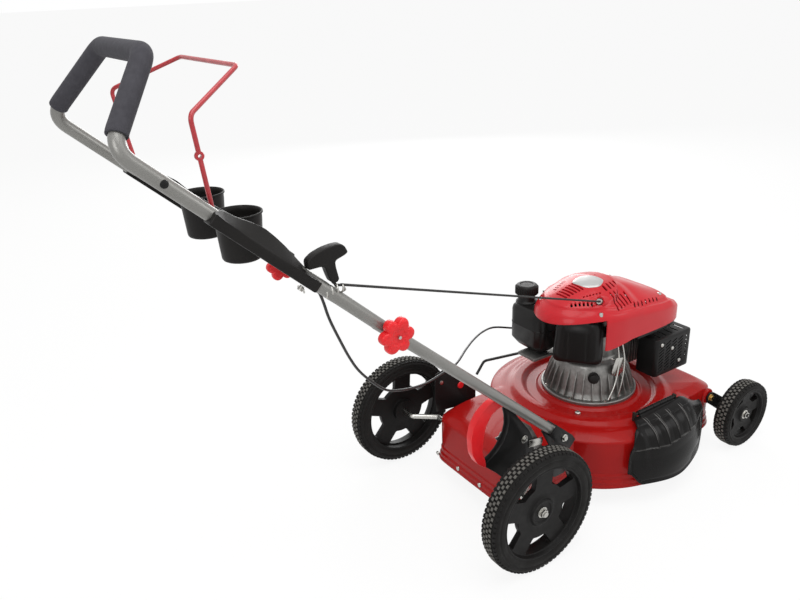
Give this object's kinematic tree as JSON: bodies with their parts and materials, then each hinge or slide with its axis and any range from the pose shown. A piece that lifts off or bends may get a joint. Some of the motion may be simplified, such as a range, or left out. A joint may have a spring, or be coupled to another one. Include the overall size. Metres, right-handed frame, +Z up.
{
  "type": "petrol lawn mower",
  "caption": "Petrol push mower with red pressed deck, pull-start engine, side discharge cover, height lever, large rear wheels and a folding handle with cup tray and foam grip.",
  "frame": {"origin": "on the ground under the middle of the whole mower's box", "axes": "+X forward, towards the front wheels, +Y to the mower's left, +Z up"},
  "size_m": [1.5248, 0.555, 1.096],
  "materials": {
    "deck_red": "gloss",
    "engine_red": "gloss",
    "grip_red": "gloss",
    "bail_red": "gloss",
    "black_plastic": "satin",
    "black_paint": "satin",
    "tyre_black": "matt",
    "foam_grey": "soft foam",
    "cable_black": "smooth sleeve",
    "rope_black": "braided cord",
    "tube_grey": "satin metallic",
    "plated_steel": "zinc plated",
    "dark_steel": "heat darkened",
    "cast_aluminium": "as cast",
    "brass_bolt": "yellow plated"
  },
  "bodies": {
    "mower": {"deck_shell": "deck_red", "handle_bracket_left": "black_paint", "handle_bracket_right": "black_paint", "pivot_bolt_left": "plated_steel", "pivot_bolt_right": "plated_steel", "height_quadrant": "cast_aluminium", "cover_hinge_rod": "plated_steel", "deck_bolt": "plated_steel", "engine_block": "cast_aluminium", "blower_housing": "engine_red", "fuel_tank": "black_plastic", "air_filter_cover": "black_plastic", "carburettor": "cast_aluminium", "muffler": "dark_steel", "muffler_guard": "black_paint", "spark_plug": "black_plastic", "oil_plug": "black_plastic", "rope_eyelet": "plated_steel", "control_rod": "black_paint", "brake_cable": "cable_black"},
    "crank": {"crankshaft": "plated_steel", "flywheel": "cast_aluminium", "blade": "dark_steel", "blade_bolt": "plated_steel"},
    "rear_axle_body": {"rear_axle": "plated_steel", "lever_plate": "black_paint", "lever_grip": "grip_red", "lever_bolt": "plated_steel", "lever_tongue": "plated_steel"},
    "front_axle_body": {"front_axle": "black_paint", "front_bolt_left": "brass_bolt", "front_bolt_right": "brass_bolt"},
    "lower_handle": {"lower_tube_left": "tube_grey", "lower_tube_right": "tube_grey", "clamp_bolt_left": "plated_steel", "clamp_bolt_right": "plated_steel"},
    "upper_handle": {"upper_tube": "tube_grey", "foam_grip": "foam_grey", "console": "black_plastic", "rope_guide": "plated_steel", "starter_rope": "rope_black", "wing_nut": "plated_steel"},
    "bail_lever": {"bail": "bail_red"},
    "starter_pull": {"starter_grip": "black_plastic"},
    "cover": {"discharge_cover": "black_plastic"},
    "tank_cap": {"fuel_cap": "black_plastic"},
    "rear_wheel_left": {"rim_rear_left": "black_plastic", "tyre_rear_left": "tyre_black", "hub_nut_rear_left": "plated_steel"},
    "rear_wheel_right": {"rim_rear_right": "black_plastic", "tyre_rear_right": "tyre_black", "hub_nut_rear_right": "plated_steel"},
    "front_wheel_left": {"rim_front_left": "black_plastic", "tyre_front_left": "tyre_black", "hub_nut_front_left": "plated_steel"},
    "front_wheel_right": {"rim_front_right": "black_plastic", "tyre_front_right": "tyre_black", "hub_nut_front_right": "plated_steel"},
    "clamp_knob_left": {"knob_left": "grip_red"},
    "clamp_knob_right": {"knob_right": "grip_red"}
  },
  "joints": [
    {"name": "crank_spin", "type": "hinge", "parent": "mower", "child": "crank", "pos_m": [0.34544, 0, 0.07], "axis": [0, 0, 1], "continuous": true},
    {"name": "height_lever_turn", "type": "hinge", "parent": "mower", "child": "rear_axle_body", "pos_m": [-0.00956, 0, 0.135], "axis": [0, 1, 0], "range_deg": [-14, 14]},
    {"name": "front_axle_turn", "type": "hinge", "parent": "mower", "child": "front_axle_body", "pos_m": [0.59544, 0, 0.142], "axis": [0, 1, 0], "range_deg": [-12, 12]},
    {"name": "lower_handle_tilt", "type": "hinge", "parent": "mower", "child": "lower_handle", "pos_m": [0.06744, 0, 0.229], "axis": [0, 1, 0], "range_deg": [0, 25], "deforming": ["brake_cable"]},
    {"name": "upper_handle_fold", "type": "hinge", "parent": "lower_handle", "child": "upper_handle", "pos_m": [-0.37156, 0, 0.615], "axis": [0, 1, 0], "range_deg": [0, 110], "deforming": ["starter_rope"]},
    {"name": "bail_squeeze", "type": "hinge", "parent": "upper_handle", "child": "bail_lever", "pos_m": [-0.63856, 0, 0.86135], "axis": [0, -1, 0], "range_deg": [0, 23], "stiffness_Nm_per_rad": 1.5, "springref_deg": -20.05},
    {"name": "starter_pull_slide", "type": "slide", "parent": "upper_handle", "child": "starter_pull", "axis": [-0.26, 0, 0.9656], "range_m": [0, 0.4], "stiffness_N_per_m": 30, "springref_m": -0.1},
    {"name": "discharge_cover_swing", "type": "hinge", "parent": "mower", "child": "cover", "pos_m": [0.34544, -0.193, 0.2035], "axis": [-1, 0, 0], "range_deg": [0, 65], "stiffness_Nm_per_rad": 0.4, "springref_deg": -28.65},
    {"name": "fuel_cap_turn", "type": "hinge", "parent": "mower", "child": "tank_cap", "pos_m": [0.24144, 0.125, 0.424], "axis": [0, 0, 1], "continuous": true},
    {"name": "rear_wheel_left_spin", "type": "hinge", "parent": "rear_axle_body", "child": "rear_wheel_left", "pos_m": [-0.06456, 0.255, 0.14], "axis": [0, 1, 0], "continuous": true},
    {"name": "rear_wheel_right_spin", "type": "hinge", "parent": "rear_axle_body", "child": "rear_wheel_right", "pos_m": [-0.06456, -0.255, 0.14], "axis": [0, 1, 0], "continuous": true},
    {"name": "front_wheel_left_spin", "type": "hinge", "parent": "front_axle_body", "child": "front_wheel_left", "pos_m": [0.67344, 0.23, 0.089], "axis": [0, 1, 0], "continuous": true},
    {"name": "front_wheel_right_spin", "type": "hinge", "parent": "front_axle_body", "child": "front_wheel_right", "pos_m": [0.67344, -0.23, 0.089], "axis": [0, 1, 0], "continuous": true},
    {"name": "clamp_knob_left_turn", "type": "hinge", "parent": "lower_handle", "child": "clamp_knob_left", "pos_m": [-0.37156, 0.2122, 0.615], "axis": [0, 1, 0], "continuous": true},
    {"name": "clamp_knob_right_turn", "type": "hinge", "parent": "lower_handle", "child": "clamp_knob_right", "pos_m": [-0.37156, -0.2122, 0.615], "axis": [0, -1, 0], "continuous": true}
  ]
}
